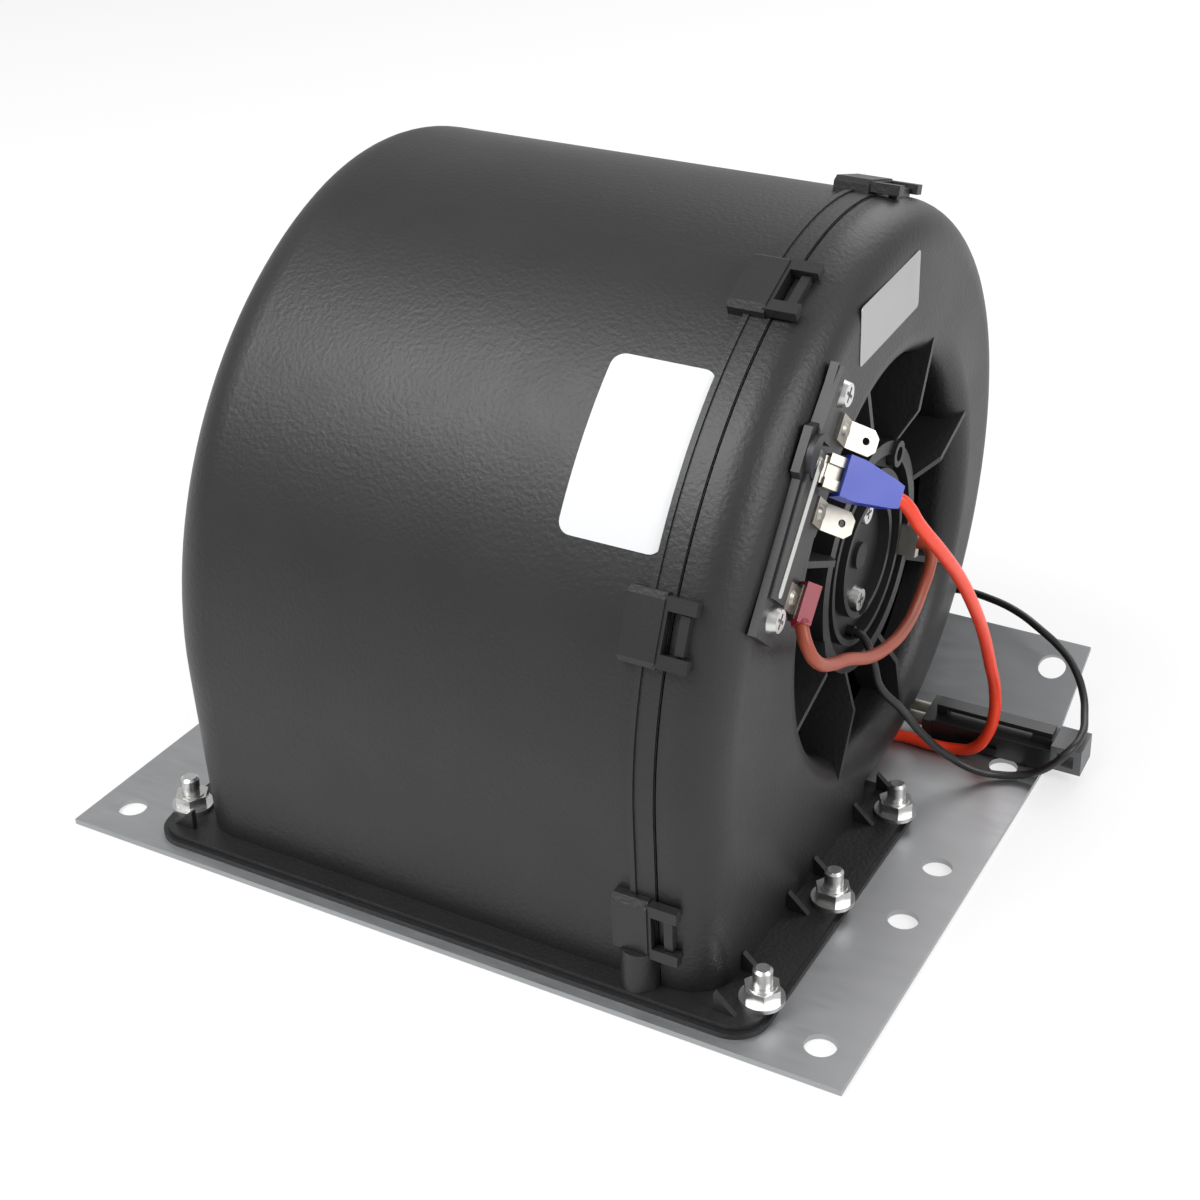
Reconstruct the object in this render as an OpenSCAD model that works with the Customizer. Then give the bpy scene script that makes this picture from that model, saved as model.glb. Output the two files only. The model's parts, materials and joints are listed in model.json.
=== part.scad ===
// DC centrifugal blower: a double-inlet drum blowing down through a steel mounting plate.
// X runs along the motor shaft, Y runs from the plate's front edge to its bent-up rear, Z is up.
// The origin is on the plate's underside, below the middle of the whole object.

/* [Mounting plate] */
// Width of the steel plate across the drum
plate_w = 220; // [205:1:264]
// Depth of the flat part of the plate
plate_d = 148; // [140:1:178]
// Length of the bent-up rear part of the plate
lip_l = 37; // [31:1:44]
// Angle of the bent-up rear part
lip_a = 31; // [26:1:37]
// Thickness of the sheet steel
plate_t = 1.5; // [1.25:0.05:1.8]
// Diameter of the fixing holes in the plate
hole_d = 7.8; // [6.5:0.1:9]
// Distance of the fixing holes from the middle of the plate
hole_x = 100; // [98:0.5:102]
// Front pair of fixing holes, from the front edge
hole_y1 = 11.5; // [9.6:0.1:13.8]
// Second pair of fixing holes, from the front edge
hole_y2 = 63; // [53:1:74]
// Third pair of fixing holes, from the front edge
hole_y3 = 87; // [80:1:104]
// Rear pair of fixing holes on the flat part, from the front edge
hole_y4 = 138.5; // [125:0.5:142]
// Distance of the holes in the bent part from the bend
lip_hole = 28; // [23.5:0.5:31]

/* [Outlet flange] */
// Width of the drum's foot flange
flange_w = 174; // [168:1:190]
// Depth of the foot flange
flange_d = 109; // [107:1:116]
// Gap between the plate's front edge and the flange
flange_y = 3; // [2:0.5:3.5]
// Thickness of the foot flange
flange_t = 3; // [2.5:0.1:3.6]
// Corner radius of the foot flange
flange_r = 9; // [7.5:0.5:10.8]
// Distance of the studs from the middle
stud_x = 83; // [81.5:0.5:84]
// First pair of studs, from the front edge
stud_y1 = 16.5; // [14:0.5:19]
// Middle pair of studs, from the front edge
stud_y2 = 58.5; // [49:0.5:70]
// Rear pair of studs, from the front edge
stud_y3 = 100.5; // [90:0.5:104]
// Diameter of the studs
stud_d = 4.8; // [4:0.1:5.7]
// Height of the studs above the flange
stud_h = 9.3; // [8:0.1:11]
// Width of the nuts across their flats
nut_af = 8; // [7:0.1:9.5]
// Diameter of the nuts' washer face
nut_washer_d = 11; // [10:0.1:12]

/* [Drum] */
// Distance of the left end of the drum from the middle
drum_left = 77; // [75:0.5:80]
// Position of the seam between the drum and its end cover
seam_x = 59.8; // [58:0.1:61]
// Position of the end cover's outer face
cover_x = 74.2; // [73.8:0.1:75]
// Wall thickness of the drum
wall_t = 2.5; // [2.1:0.1:3]
// Edge radius of the drum's left end
edge_r = 13; // [10.9:0.1:15.6]
// Edge radius of the end cover
cover_edge_r = 11.5; // [9.6:0.1:12.5]
// Radius of the scroll's front arc
front_r = 106.8; // [100:0.1:114]
// Radius of the scroll's upper and rear arc
rear_r = 83; // [82:0.1:86]
// Radius of the scroll's under arc
under_r = 71.5; // [71:0.1:73]
// Forward lean of the front wall
front_lean = 3.75; // [3.2:0.05:4.5]
// Gap between the plate and the lowest point of the drum
under_gap = 2.2; // [1.9:0.1:2.6]
// Height of the raised band beside the seam
band_h = 0.5; // [0.4:0.1:0.6]
// Height of the narrow rib beside the band
rib_h = 1; // [0.8:0.1:1.2]

/* [Inlets and motor holder] */
// Radius at which the cover's face turns into the inlet
bell_face_r = 59; // [58:0.1:59.4]
// Radius at which the drum's left end turns into the far inlet
far_face_r = 57.5; // [56.5:0.1:57.9]
// Radius of the inlet's throat
throat_r = 52; // [51:0.1:52.5]
// Number of spokes that carry the motor holder
spoke_n = 8; // [6:1:9]
// Thickness of a spoke
spoke_t = 1.6; // [1.3:0.1:1.9]
// Angle of the first spoke
spoke_a = 20; // [17:1:24]
// Radius of the motor holder
holder_r = 30; // [29.5:0.1:31]

/* [Fan wheel] */
// Outer radius of the fan wheel
wheel_r = 64; // [61:0.5:65]
// Inner radius of the blade ring
blade_r_in = 52; // [50:0.5:54]
// Radius of curvature of a blade
blade_curve = 13; // [11:0.5:15]
// Number of blades
blade_n = 40; // [34:1:44]
// Thickness of a blade
blade_t = 1; // [0.85:0.05:1.2]
// Distance of the wheel's ends from the middle
wheel_half = 60; // [56:0.5:60]
// Thickness of the wheel's end rings
rim_t = 2; // [1.7:0.1:2.4]
// Thickness of the wheel's middle disc
web_t = 2.2; // [1.9:0.1:2.6]

/* [Motor] */
// Outer radius of the motor can
can_r = 27.5; // [25:0.1:27.7]
// Radius of the shaft
shaft_r = 4; // [3.4:0.1:4.6]
// Radius of the armature
armature_r = 17; // [14.5:0.5:18]
// Number of armature slots
slot_n = 12; // [10:1:14]
// Radius of the commutator
commutator_r = 9; // [7.8:0.1:9.6]

/* [Resistor strip and terminals] */
// Thickness of the resistor strip's base
strip_t = 2; // [1.7:0.1:2.4]
// Width of a blade terminal
tab_w = 6.3; // [5.3:0.1:7]
// Thickness of a blade terminal
tab_t = 0.8; // [0.7:0.05:0.95]
// Length of a blade terminal beyond its bend
tab_l = 8; // [7:0.1:9.5]

/* [Leads and connector] */
// Diameter of the red lead
red_d = 3.3; // [2.8:0.1:3.6]
// Diameter of the brown lead
brown_d = 3.2; // [2.7:0.1:3.6]
// Diameter of the black lead
black_d = 2.2; // [1.9:0.1:2.6]

/* [Hidden] */
eps = 0.01;
// named clearances: seated fit, shaft fit, seam gap
fit = 0.05;
shaft_fit = 0.03;
seam_gap = 0.3;

// bend of the plate
bend_r = 2;
bend_cut = bend_r * tan(lip_a / 2);
function bend_points(r, steps) =
  [for (k = steps) [plate_d - bend_cut + r * sin(k * lip_a / 6), bend_r - r * cos(k * lip_a / 6)]];
function bend_tip(r) = bend_points(r, [6])[0] + (lip_l - bend_cut) * [cos(lip_a), sin(lip_a)];

// The scroll is three arcs that meet tangentially. In the scroll's own frame, which leans
// forward with the front wall, the joints lie on these directions from the arcs' centres.
joint_a = [-0.28, 0.96];
joint_b = [0.8, -0.6];
foot_y = 10;
// where the tongue ends the flat under side, in the leaning frame
tongue_x = -16.8;
// arc centres in the leaning frame, from the front arc's centre
own_b = (front_r - rear_r) * joint_a;
own_c = own_b + (rear_r - under_r) * joint_b;
function leaned(p) =
  [p.x * cos(front_lean) - p.y * sin(front_lean), p.x * sin(front_lean) + p.y * cos(front_lean)];
ca_z = under_gap + under_r * cos(front_lean) - leaned(own_c).y;
front_l = (ca_z - flange_t - front_r * sin(front_lean)) / cos(front_lean);
ca = [foot_y + front_r * cos(front_lean) - front_l * sin(front_lean), ca_z];
cb = ca + leaned(own_b);
cc = ca + leaned(own_c);
drum_rear = cb.x + rear_r;
tongue_y = ca.x + leaned([tongue_x, -front_l]).x - 0.4;
lip_gap = 0.15;
axis = [cc.x - 8.8, cc.y - 0.55];
overall_d = drum_rear + rib_h;

// inlet bell mouths
throat_l = 4;
bell_rim = 0.6;
spoke_top = cover_x - 0.3;
holder_x0 = 50;
holder_x1 = cover_x - 4.7;

// clips round the seam: [arc, angle]
clip_arcs = [[0, 158.4], [0, 114.7], [1, 74.8], [1, 20], [2, -48]];
clip_wall_z = 21;

// motor stations along the shaft
can_x0 = 3;
can_x1 = 62;
can_t = 1.2;
cap_x1 = 66;
hub_r = 9;
hub_x0 = -16;
hub_x1 = -4;
web_x = -5;
bearing_r = 8;

// resistor strip: slope on the cover, screws and terminals along it [along, across]
strip_a = -129.7;
strip_from = [53.9, 142];
strip_screws = [[-1.5, 10.8], [50.6, 10.8]];
tabs = [[4.7, 18.2], [15.6, 8.6], [24, 18.6], [44.1, 17.1]];
tab_bend = 3.2;
flag_blade_l = 3.2;

// lead routes
red_route = [[90.4, 63.4, 113.8], [91.3, 64.1, 113.2], [92.8, 65.5, 111], [94.2, 67.6, 107],
             [97, 77.2, 95.8], [98, 89.1, 83.7], [98.5, 100.6, 70.6],
             [98, 113.9, 55.1], [96.8, 127.2, 38], [96, 137.4, 22.7], [96, 138.4, 16], [95, 137.9, 9.8],
             [91.5, 137.3, 4], [86, 137.6, 2], [80.5, 137, 1.8], [71, 137.2, 1.8],
             [64, 135.4, 1.8], [57, 134, 1.8],
             [50, 135, 1.8], [45.5, 140, 1.9], [46.8, 146.6, 2.6], [52.5, 149.4, 3.6], [59, 147.2, 4.4],
             [64, 144.2, 5.1], [67.5, 143.3, 5.2], [69.5, 143.2, 5.2]];
brown_route = [[79.2, 39.4, 90.5], [79.6, 39, 90], [80.4, 38.2, 88.6], [81.2, 37.8, 87.1], [81.9, 37.9, 85.5],
               [82.4, 38.4, 84], [82.8, 39.4, 82.6], [82.8, 43, 79.6], [82.5, 50.5, 75.5], [82.4, 60, 71.6],
               [83, 73.8, 65.1], [83, 87.4, 61.2], [82, 100.4, 59], [80.4, 112, 58.5], [79.2, 120, 59.8],
               [78.6, 125.6, 62.2], [77.8, 128.8, 64.8], [76.4, 130, 66.5],
               [74.8, 130.1, 67], [73.6, 130.1, 67]];
black_route = [[68, 102.3, 53], [69.8, 102.2, 52.7], [72.4, 101.2, 50.4], [74.6, 100.2, 46],
               [76.5, 100, 40.5], [81, 104, 33], [84.3, 114, 20],
               [88.7, 123.5, 9], [95, 127.5, 4], [101, 131.4, 1.8], [107.5, 134, 2.4], [113.5, 134.6, 6.5],
               [117.4, 136.4, 11], [118.9, 143.7, 12.5], [116.7, 153.8, 13.5], [114, 160.5, 15.5],
               [109.8, 165.8, 19], [103.7, 170.4, 22], [97, 172.6, 25], [88, 177.2, 26.4], [80, 179.4, 27],
               [69.5, 182, 26], [60, 182.4, 23.6], [52, 179.6, 20.6], [46.8, 173, 16.6], [46.6, 165, 12],
               [51, 158, 7.8], [58, 152.4, 6], [64, 148.9, 5.8], [67.5, 148, 5.8],
               [69.5, 147.9, 5.8]];

// connector lying against the bend of the plate
plug_at = [77, 140.6, 0.9];
plug_tilt = 7;
plug_l = 35;
plug_w = 10.5;
plug_h = 9;

black_plastic = [0.09, 0.09, 0.1];
bright_steel = [0.78, 0.78, 0.76];

// ---------- shared frames and helpers ----------

// everything is drawn from the plate's front edge and top face, then moved to the object's origin
module place() {
  translate([0, -overall_d / 2, plate_t]) children();
}

// local x becomes Y, local y becomes Z and local z becomes X
module side_view() {
  rotate([90, 0, 90]) children();
}

// side view centred on the shaft
module on_shaft() {
  side_view() translate([axis.x, axis.y, 0]) children();
}

// ring or disc round the shaft between two stations
module shaft_ring(r, bore, xa, xb) {
  on_shaft() translate([0, 0, xa]) difference() {
    cylinder(r = r, h = xb - xa, $fn = 96);
    if (bore > 0) translate([0, 0, -1]) cylinder(r = bore, h = xb - xa + 2, $fn = 96);
  }
}

// section of the drum through its axis: x is the radius, y runs along the shaft
module drum_section(r, xa, xb, ra, rb) {
  translate([0, xa + ra]) square([r, xb - xa - ra - rb]);
  if (ra > 0) {
    translate([0, xa]) square([r - ra, ra + 1]);
    translate([r - ra, xa + ra]) intersection() {
      circle(ra, $fn = 64);
      translate([0, -ra]) square([ra, ra]);
    }
  }
  if (rb > 0) {
    translate([0, xb - rb - 1]) square([r - rb, rb + 1]);
    translate([r - rb, xb - rb]) intersection() {
      circle(rb, $fn = 64);
      square([rb, rb]);
    }
  }
}

// frame of the scroll, leaning with the front wall, at the front arc's centre
module scroll_frame() {
  side_view() translate([ca.x, ca.y, 0]) rotate([0, 0, front_lean]) children();
}

// part of a full ring inside a wedge of the given corners
module arc_sector(c, corners) {
  translate([c.x, c.y, 0]) intersection() {
    rotate_extrude($fn = 180) children();
    translate([0, 0, -150]) linear_extrude(300) polygon(concat([[0, 0]], corners));
  }
}

// wall of the drum with its rib, band and the lip that enters the end cover
module housing_section(r) {
  difference() {
    union() {
      drum_section(r, -drum_left, seam_x, edge_r, 0);
      translate([r - 1, seam_x - 6.4]) square([1 + rib_h, 1.4]);
      translate([r - 1, seam_x - 5]) square([1 + band_h, 4.8]);
      translate([r - wall_t, seam_x - 1]) square([wall_t / 2 - lip_gap, 4.2]);
    }
    drum_section(r - wall_t, -drum_left + wall_t, seam_x + 9, edge_r - wall_t, 0);
  }
}

// wall of the end cover with the recess that takes the lip
module cover_section(r) {
  difference() {
    drum_section(r, seam_x + seam_gap, cover_x, 0, cover_edge_r);
    drum_section(r - wall_t, seam_x - 9, cover_x - wall_t, 0, cover_edge_r - wall_t);
    translate([-1, seam_x - 1]) square([r + 1 - wall_t / 2, 4.6]);
  }
}

module wall_section(part, r) {
  if (part == "housing") housing_section(r);
  if (part == "cover") cover_section(r);
}

// the scroll's wall and end face: three arcs, the straight front and the flat under side up to the tongue
module scroll_wall(part) {
  scroll_frame() {
    arc_sector([0, 0], [[-400, 0], [-400, 400], 400 * joint_a]) wall_section(part, front_r);
    arc_sector(own_b, [400 * joint_a, [300, 400], [400, 0], 400 * joint_b]) wall_section(part, rear_r);
    arc_sector(own_c, [400 * joint_b, [300, -400], [0, -400]]) wall_section(part, under_r);
    translate([tongue_x, 0, 0]) rotate([0, 0, 180]) rotate([90, 0, 0]) mirror([0, 0, 1])
      linear_extrude(front_l + 6) wall_section(part, front_r + tongue_x);
    translate([own_c.x, own_c.y, 0]) rotate([0, 0, -90]) rotate([90, 0, 0])
      linear_extrude(own_c.x - tongue_x) difference() {
        wall_section(part, under_r);
        translate([-1, -100]) square([21, 200]);
      }
  }
}

// section of a bell mouth ring that opens towards +X and reaches face_r at station 0,
// standing a little proud of both sides of the end face if asked
module bell_section(face_r, proud) {
  round_r = face_r - throat_r;
  t = wall_t + 2 * proud;
  translate([0, proud]) {
    translate([throat_r, -round_r - throat_l]) square([t, throat_l]);
    intersection() {
      translate([face_r, -round_r]) difference() {
        circle(round_r, $fn = 64);
        circle(round_r - t, $fn = 64);
      }
      translate([throat_r - 1, -round_r]) square([round_r + 1, round_r + 1]);
    }
    translate([face_r, -t]) square([bell_rim, t]);
  }
}

module plate_hole(x, y) {
  translate([x, y, -plate_t - 1]) cylinder(d = hole_d, h = plate_t + 2, $fn = 48);
}

module at_studs() {
  for (sx = [-1, 1], y = [stud_y1, stud_y2, stud_y3]) translate([sx * stud_x, y, 0]) children();
}

// rectangle with round corners
module round_rect(x0, y0, x1, y1, r) {
  translate([x0 + r, y0]) square([x1 - x0 - 2 * r, y1 - y0]);
  translate([x0, y0 + r]) square([x1 - x0, y1 - y0 - 2 * r]);
  for (x = [x0 + r, x1 - r], y = [y0 + r, y1 - r]) translate([x, y]) circle(r, $fn = 48);
}

// frame standing on the scroll's surface: x outward, y along the rim, z along the shaft
module on_rim(c, r, a) {
  side_view() translate([c.x, c.y, 0]) rotate([0, 0, a]) translate([r, 0, 0]) children();
}

module on_front_wall(z) {
  side_view() translate([foot_y - (z - flange_t) * tan(front_lean), z, 0])
    rotate([0, 0, 180 + front_lean]) children();
}

module at_clips() {
  centres = [ca, cb, cc];
  radii = [front_r, rear_r, under_r];
  for (k = clip_arcs) on_rim(centres[k[0]], radii[k[0]], k[1]) children();
  on_front_wall(clip_wall_z) children();
}

// frame of the resistor strip: x down along the strip, y towards the inlet, z out of the cover
module on_strip() {
  side_view() translate([strip_from.x, strip_from.y, cover_x]) rotate([0, 0, strip_a]) children();
}

// frame of a blade terminal past its bend: x across the blade, y along it, z up from it
module on_tab(i) {
  on_strip() translate([tabs[i][0], tabs[i][1] + tab_bend, strip_t]) rotate([45, 0, 0]) children();
}

// frame of the connector: x along it, y across, z up
module on_plug() {
  translate(plug_at) rotate([plug_tilt, 0, 0]) children();
}

// ---------- swept leads ----------

function unit(v) = v / norm(v);
function tangent(p, i) = unit(p[min(i + 1, len(p) - 1)] - p[max(i - 1, 0)]);
function carried(p, i, u) = i == len(p) ? [] :
  let (t = tangent(p, i), v = unit(u - (u * t) * t)) concat([[v, cross(t, v)]], carried(p, i + 1, v));

module lead(p, r) {
  sides = 8;
  n = len(p);
  frames = carried(p, 0, [0.3, 0.2, 0.9]);
  points = [for (i = [0:n - 1], k = [0:sides - 1])
    p[i] + r * (cos(k * 360 / sides) * frames[i][0] + sin(k * 360 / sides) * frames[i][1])];
  skin = [for (i = [0:n - 2], k = [0:sides - 1], h = [0, 1])
    let (a = i * sides + k, b = i * sides + (k + 1) % sides)
    h == 0 ? [a, a + sides, b] : [b, a + sides, b + sides]];
  first = [[for (k = [0:sides - 1]) k]];
  last = [[for (k = [sides - 1:-1:0]) (n - 1) * sides + k]];
  polyhedron(points = points, faces = concat(skin, first, last));
}

// ---------- plate, studs and nuts ----------

module mounting_plate() {
  color([0.66, 0.68, 0.7]) place() difference() {
    union() {
      side_view() translate([0, 0, -plate_w / 2]) linear_extrude(plate_w)
        polygon(concat([[0, -plate_t]], bend_points(bend_r + plate_t, [0, 1, 2, 3, 4, 5, 6]),
                       [bend_tip(bend_r + plate_t), bend_tip(bend_r)],
                       bend_points(bend_r, [6, 5, 4, 3, 2, 1, 0]), [[0, 0]]));
    }
    for (sx = [-1, 1]) {
      for (y = [hole_y1, hole_y2, hole_y3, hole_y4]) plate_hole(sx * hole_x, y);
      translate([0, plate_d - bend_cut, bend_r]) rotate([lip_a, 0, 0])
        translate([sx * (hole_x + 1.6), lip_hole - bend_cut, -bend_r - plate_t - 1])
          cylinder(d = hole_d, h = plate_t + 2, $fn = 48);
    }
    // outlet opening
    translate([0, 0, -plate_t - 1]) linear_extrude(plate_t + 2)
      round_rect(-drum_left + 4, foot_y + 4, cover_x - 4, foot_y + 88, 10);
    at_studs() translate([0, 0, -plate_t - 1]) cylinder(r = stud_d / 2 + 1 + fit, h = plate_t + 2, $fn = 48);
  }
}

module outlet_studs() {
  color(bright_steel) place() at_studs() {
    translate([0, 0, -plate_t]) cylinder(r = stud_d / 2 + 1, h = plate_t, $fn = 48);
    cylinder(d = stud_d, h = flange_t + stud_h - 0.6, $fn = 48);
    translate([0, 0, flange_t + stud_h - 0.6 - eps])
      cylinder(d1 = stud_d, d2 = stud_d - 1.4, h = 0.6, $fn = 48);
  }
}

module flange_nuts() {
  color(bright_steel) place() at_studs() translate([0, 0, flange_t]) difference() {
    union() {
      cylinder(d = nut_washer_d, h = 1.1, $fn = 48);
      translate([0, 0, 1]) cylinder(d = nut_af / cos(30), h = 3.2, $fn = 6);
      translate([0, 0, 4.1]) cylinder(d = nut_af - 1, h = 0.4, $fn = 48);
    }
    translate([0, 0, -1]) cylinder(r = stud_d / 2 + fit, h = 7, $fn = 48);
  }
}

// ---------- drum ----------

module foot_flange() {
  x = flange_w / 2;
  difference() {
    union() {
      linear_extrude(flange_t / 2) round_rect(-x, flange_y, x, flange_y + flange_d, flange_r);
      linear_extrude(flange_t)
        round_rect(-x + 1.2, flange_y + 1.2, x - 1.2, flange_y + flange_d - 1.2, flange_r - 1.2);
    }
    translate([0, 0, -1]) linear_extrude(flange_t + 2)
      round_rect(-drum_left + 1.2, foot_y + 1.2, cover_x - wall_t, tongue_y, 10);
  }
}

module gussets() {
  for (y = [stud_y1, stud_y2, stud_y3], dy = [-8, 8]) {
    translate([cover_x + 0.4, y + dy + 0.8, flange_t]) rotate([90, 0, 0])
      linear_extrude(1.6) polygon([[0, -1], [5.5, -1], [5.5, 0], [0, 5]]);
    translate([-drum_left - 5, y + dy + 0.8, flange_t]) rotate([90, 0, 0])
      linear_extrude(1.6) polygon([[0, -1], [6, -1], [6, 5.5], [5, 5], [0, 0]]);
  }
}

module clip_body() {
  // bevelled pad
  translate([0, 0, 49.5]) linear_extrude(9)
    polygon([[-1.5, -8.5], [-1.5, 8.5], [2, 8.5], [3.3, 7], [3.3, -7], [2, -8.5]]);
  // two arms across the seam, clear of the cover
  for (s = [-1, 1]) translate([0.5, s * 6.4 - 1.6, 58]) cube([2.4, 3.2, 8]);
  // bar behind the catch
  translate([0.5, -8, 58]) cube([2.4, 16, 1.4]);
}

module clip_catch() {
  translate([-1.5, -4.4, 62.2]) cube([3.4, 8.8, 2.2]);
}

module housing() {
  color(black_plastic) place() difference() {
    union() {
      difference() {
        scroll_wall("housing");
        translate([-200, -50, -30]) cube([400, 400, 30]);
        on_shaft() translate([0, 0, -drum_left - 1]) cylinder(r = far_face_r + 0.3, h = 10, $fn = 128);
      }
      foot_flange();
      gussets();
      at_clips() clip_body();
      // knuckle at the foot of the seam
      intersection() {
        translate([seam_x - 4.8, foot_y - 1.2, flange_t - 1]) cylinder(r = 4.5, h = 12, $fn = 48);
        translate([seam_x - 12, foot_y - 8, 0]) cube([14, 9, 20]);
      }
      // far inlet
      on_shaft() translate([0, 0, -drum_left]) rotate([180, 0, 0])
        rotate_extrude($fn = 128) bell_section(far_face_r, 0.2);
    }
    at_studs() translate([0, 0, -1]) cylinder(r = stud_d / 2 + 0.2, h = flange_t + 2, $fn = 48);
  }
}

module spokes() {
  outer = bell_face_r + 0.5;
  for (k = [0:spoke_n - 1]) on_shaft() rotate([0, 0, spoke_a + k * 360 / spoke_n])
    translate([0, spoke_t / 2, 0]) rotate([90, 0, 0]) linear_extrude(spoke_t)
      polygon([[outer, spoke_top], [38.5, spoke_top], [holder_r - 0.5, spoke_top - 4.4],
               [holder_r - 0.5, cover_x - 18.2], [throat_r + 1.2, cover_x - 11.2],
               [throat_r + 1.2, cover_x - 7.7],
               [throat_r + 3.5, cover_x - 2.9], [outer, cover_x - 1.3]]);
}

module end_cover() {
  color(black_plastic) place() difference() {
    union() {
      difference() {
        scroll_wall("cover");
        translate([-200, -50, -30]) cube([400, 400, flange_t + 30.1]);
        on_shaft() translate([0, 0, cover_x - 20]) cylinder(r = bell_face_r + 0.3, h = 30, $fn = 128);
      }
      on_shaft() translate([0, 0, cover_x]) rotate_extrude($fn = 128) bell_section(bell_face_r, 0);
      spokes();
      // motor holder with its retaining lip
      shaft_ring(holder_r, can_r + fit, holder_x0, holder_x1);
      shaft_ring(holder_r - 1, can_r - 1, cap_x1 + 0.05, holder_x1);
      // lead guide loop
      on_shaft() rotate([0, 0, 60]) translate([holder_r - 3, 0, cover_x - 6]) difference() {
        cylinder(r = 3.4, h = 2.4, $fn = 32);
        translate([0, 0, -1]) cylinder(r = 1.9, h = 5, $fn = 32);
      }
      at_clips() clip_catch();
    }
    // window behind the resistor strip
    on_strip() translate([5, 5, -wall_t - 1]) cube([42, 8, wall_t + 2]);
    for (s = strip_screws) on_strip() translate([s[0], s[1], -wall_t - 1])
      cylinder(r = 1.5 + fit, h = wall_t + 2, $fn = 32);
  }
}

// ---------- fan wheel ----------

module blade_2d() {
  intersection() {
    translate([blade_r_in, blade_curve]) difference() {
      circle(blade_curve + blade_t / 2, $fn = 64);
      circle(blade_curve - blade_t / 2, $fn = 64);
    }
    difference() {
      circle(wheel_r - 0.2, $fn = 128);
      circle(blade_r_in, $fn = 128);
    }
    translate([blade_r_in - 3, -2]) square([wheel_r - blade_r_in + 6, blade_curve + 2]);
  }
}

module impeller() {
  color([0.12, 0.12, 0.13]) place() {
    on_shaft() translate([0, 0, -wheel_half]) linear_extrude(2 * wheel_half)
      for (k = [0:blade_n - 1]) rotate(k * 360 / blade_n) blade_2d();
    for (x = [-wheel_half, wheel_half - rim_t]) shaft_ring(wheel_r, wheel_r - 4.5, x, x + rim_t);
    shaft_ring(wheel_r, hub_r + fit, web_x - web_t / 2, web_x + web_t / 2);
  }
}

module impeller_hub() {
  color(bright_steel) place() difference() {
    union() {
      shaft_ring(hub_r, 0, hub_x0, hub_x1);
      shaft_ring(15, 0, web_x - web_t / 2 - 2, web_x - web_t / 2);
    }
    shaft_ring(shaft_r + shaft_fit, 0, hub_x0 - 1, hub_x1 + 1);
    on_shaft() translate([0, 0, hub_x0 + 4]) rotate([-90, 0, 0]) cylinder(r = 2 + fit, h = 20, $fn = 32);
    for (k = [0:3]) on_shaft() rotate([0, 0, 45 + 90 * k]) translate([12, 0, -12])
      cylinder(r = 1.5 + fit, h = 12, $fn = 32);
  }
}

module hub_rivets() {
  color(bright_steel) place() for (k = [0:3]) on_shaft() rotate([0, 0, 45 + 90 * k]) {
    translate([12, 0, web_x - web_t / 2 - 3.2]) cylinder(r = 2.6, h = 1.2, $fn = 32);
    translate([12, 0, web_x - web_t / 2 - 2.5]) cylinder(r = 1.5, h = 2.5, $fn = 32);
  }
}

module hub_screw() {
  color([0.3, 0.3, 0.3]) place() on_shaft() translate([0, 0, hub_x0 + 4]) rotate([-90, 0, 0])
    translate([0, 0, shaft_r + 0.05]) difference() {
      cylinder(r = 2, h = hub_r - shaft_r, $fn = 32);
      translate([0, 0, hub_r - shaft_r - 2]) cylinder(r = 1.1, h = 3, $fn = 6);
    }
}

// ---------- motor ----------

module motor_shaft() {
  color(bright_steel) place() {
    shaft_ring(shaft_r, 0, hub_x0 + 0.5, cap_x1 - 1.2);
  }
}

module motor_can() {
  color([0.55, 0.56, 0.58]) place() difference() {
    union() {
      shaft_ring(can_r, 0, can_x0, can_x1);
      shaft_ring(9.5, 0, -1.5, can_x0 + 1);
    }
    shaft_ring(can_r - can_t, 0, can_x0 + 1.5, can_x1 + 1);
    shaft_ring(bearing_r, 0, -0.7, can_x0 + 2);
    shaft_ring(shaft_r + 0.5, 0, -3, 1);
  }
}

module magnets() {
  color([0.25, 0.25, 0.27]) place() on_shaft() for (s = [0, 180]) rotate([0, 0, s - 60]) translate([0, 0, 12])
    rotate_extrude(angle = 120, $fn = 96) translate([armature_r + 1, 0])
      square([can_r - can_t - armature_r - 1, 38]);
}

module armature() {
  color([0.5, 0.5, 0.52]) place() difference() {
    shaft_ring(armature_r, shaft_r, 16, 46);
    for (k = [0:slot_n - 1]) on_shaft() rotate([0, 0, k * 360 / slot_n]) {
      translate([armature_r - 4.6, 0, 15]) cylinder(r = 2, h = 32, $fn = 32);
      translate([armature_r - 4.5, -0.6, 15]) cube([6, 1.2, 32]);
    }
  }
}

module armature_windings() {
  color([0.72, 0.4, 0.18]) place() {
    shaft_ring(armature_r - 1, shaft_r + 1, 10, 15.9);
    shaft_ring(armature_r - 1, shaft_r + 1, 46.1, 51);
    for (k = [0:slot_n - 1]) on_shaft() rotate([0, 0, k * 360 / slot_n])
      translate([armature_r - 4.6, 0, 12]) cylinder(r = 1.9, h = 36, $fn = 32);
  }
}

module commutator() {
  color([0.72, 0.45, 0.2]) place() difference() {
    shaft_ring(commutator_r, shaft_r, 52, 59.5);
    for (k = [0:slot_n - 1]) on_shaft() rotate([0, 0, (k + 0.5) * 360 / slot_n])
      translate([commutator_r - 1.2, -0.25, 51.5]) cube([3, 0.5, 8.5]);
  }
}

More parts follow.
